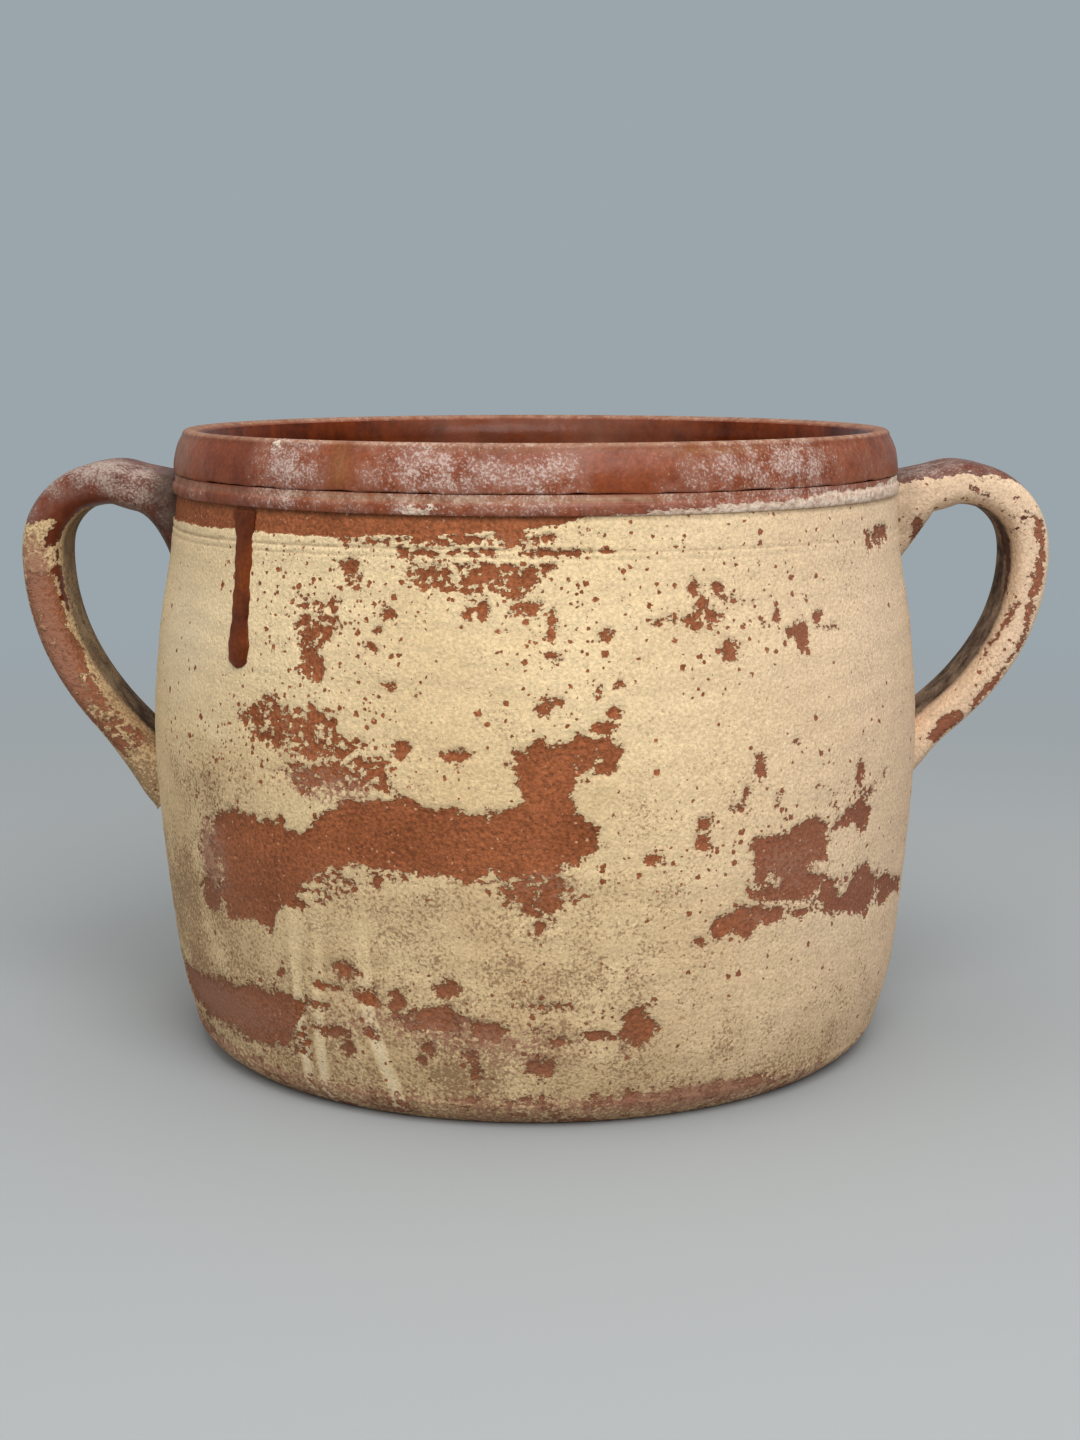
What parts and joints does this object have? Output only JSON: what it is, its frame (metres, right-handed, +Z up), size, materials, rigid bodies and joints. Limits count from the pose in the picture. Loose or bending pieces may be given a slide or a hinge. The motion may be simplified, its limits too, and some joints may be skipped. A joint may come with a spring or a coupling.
{
  "type": "two-handled terracotta jar",
  "caption": "Wide open-mouthed earthenware jar with a thick rim band, a raised strip under it, ear-shaped strap handles, a cream slip outside and a brown glaze inside.",
  "frame": {"origin": "centre of the flat underside, on the ground plane", "axes": "+Z up along the jar's axis, +X from the left handle to the right handle, the front with the glaze run faces -Y"},
  "size_m": [0.4017, 0.3014, 0.24],
  "materials": {
    "clay": "bare brick-red earthenware, matt and gritty",
    "slip": "cream slip, dry and chalky, flaked in patches",
    "worn_glaze": "thin brown-red glaze, worn dull under a chalky bloom",
    "glaze": "glossy brown-red glaze"
  },
  "bodies": {
    "root": {"base_disc": "clay", "body_wall": "clay", "cordon": "worn_glaze", "rim_collar": "worn_glaze", "left_handle": "worn_glaze", "left_upper_luting": "slip", "left_lower_luting": "slip", "right_handle": "slip", "right_upper_luting": "slip", "right_lower_luting": "slip", "slip_coat": "slip", "glaze_lining": "glaze", "glaze_run": "glaze"}
  },
  "joints": []
}
